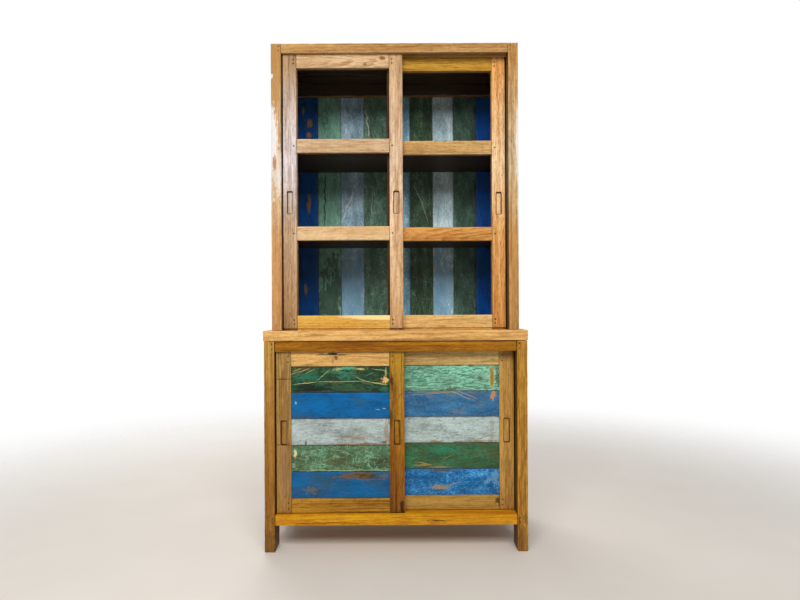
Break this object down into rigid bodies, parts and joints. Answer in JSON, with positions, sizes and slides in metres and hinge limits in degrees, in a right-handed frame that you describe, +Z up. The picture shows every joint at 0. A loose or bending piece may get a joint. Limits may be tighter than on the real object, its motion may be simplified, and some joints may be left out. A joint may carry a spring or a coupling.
{
  "type": "mizuya kitchen cabinet",
  "caption": "Tall sliding-door kitchen cabinet: a glazed hutch with shelves on a deeper base with boarded doors, in reclaimed wood with worn paint.",
  "frame": {"origin": "on the floor, under the middle of the cabinet", "axes": "+X to the right seen from the front, +Y to the rear, +Z up"},
  "size_m": [1.004, 0.45, 1.94],
  "materials": {
    "frame_teak": "old oiled teak, satin",
    "door_teak": "old oiled teak, satin, with nail holes and small cracks",
    "inside_teak": "plain sawn teak, matt",
    "painted_blue": "worn blue boat paint on teak",
    "painted_green": "worn green boat paint on teak",
    "painted_pale": "worn pale boat paint on teak",
    "painted_boards": "worn green, blue and pale boat paint on teak, one colour per board",
    "peg_wood": "dark hardwood pegs, cut flush",
    "glass": "clear window glass"
  },
  "bodies": {
    "carcass": {"base_back_boards": "inside_teak", "base_back_rails": "frame_teak", "base_cleats": "inside_teak", "base_floor_boards": "inside_teak", "base_head_rail": "frame_teak", "base_post_front_left": "frame_teak", "base_post_front_right": "frame_teak", "base_post_rear_left": "frame_teak", "base_post_rear_right": "frame_teak", "base_shelf": "inside_teak", "base_side_boards": "frame_teak", "base_side_rails": "frame_teak", "base_sill_rail": "frame_teak", "carcass_pegs": "peg_wood", "counter_front_plank": "frame_teak", "counter_planks": "frame_teak", "hutch_back_boards_blue": "painted_blue", "hutch_back_boards_green": "painted_green", "hutch_back_boards_pale": "painted_pale", "hutch_back_rails": "frame_teak", "hutch_cleats": "inside_teak", "hutch_head_rail": "frame_teak", "hutch_post_front_left": "frame_teak", "hutch_post_front_right": "frame_teak", "hutch_post_rear_left": "frame_teak", "hutch_post_rear_right": "frame_teak", "hutch_shelf_lower": "inside_teak", "hutch_shelf_upper": "inside_teak", "hutch_side_boards": "frame_teak", "hutch_side_rails": "frame_teak", "hutch_top_boards": "frame_teak"},
    "glass_door_left": {"glass_door_left_beads": "door_teak", "glass_door_left_bottom_rail": "door_teak", "glass_door_left_meeting_stile": "door_teak", "glass_door_left_mid_rails": "door_teak", "glass_door_left_outer_stile": "door_teak", "glass_door_left_panes": "glass", "glass_door_left_pegs": "peg_wood", "glass_door_left_top_rail": "door_teak"},
    "glass_door_right": {"glass_door_right_beads": "door_teak", "glass_door_right_bottom_rail": "door_teak", "glass_door_right_meeting_stile": "door_teak", "glass_door_right_mid_rails": "door_teak", "glass_door_right_outer_stile": "door_teak", "glass_door_right_panes": "glass", "glass_door_right_pegs": "peg_wood", "glass_door_right_top_rail": "door_teak"},
    "panel_door_left": {"panel_door_left_boards": "painted_boards", "panel_door_left_bottom_rail": "door_teak", "panel_door_left_meeting_stile": "door_teak", "panel_door_left_outer_stile": "door_teak", "panel_door_left_pegs": "peg_wood", "panel_door_left_top_rail": "door_teak"},
    "panel_door_right": {"panel_door_right_boards": "painted_boards", "panel_door_right_bottom_rail": "door_teak", "panel_door_right_meeting_stile": "door_teak", "panel_door_right_outer_stile": "door_teak", "panel_door_right_pegs": "peg_wood", "panel_door_right_top_rail": "door_teak"}
  },
  "joints": [
    {"name": "glass_door_left_slide", "type": "slide", "parent": "carcass", "child": "glass_door_left", "axis": [1, 0, 0], "range_m": [0, 0.4]},
    {"name": "glass_door_right_slide", "type": "slide", "parent": "carcass", "child": "glass_door_right", "axis": [1, 0, 0], "range_m": [-0.4, 0]},
    {"name": "panel_door_left_slide", "type": "slide", "parent": "carcass", "child": "panel_door_left", "axis": [1, 0, 0], "range_m": [0, 0.424]},
    {"name": "panel_door_right_slide", "type": "slide", "parent": "carcass", "child": "panel_door_right", "axis": [1, 0, 0], "range_m": [-0.424, 0]}
  ]
}
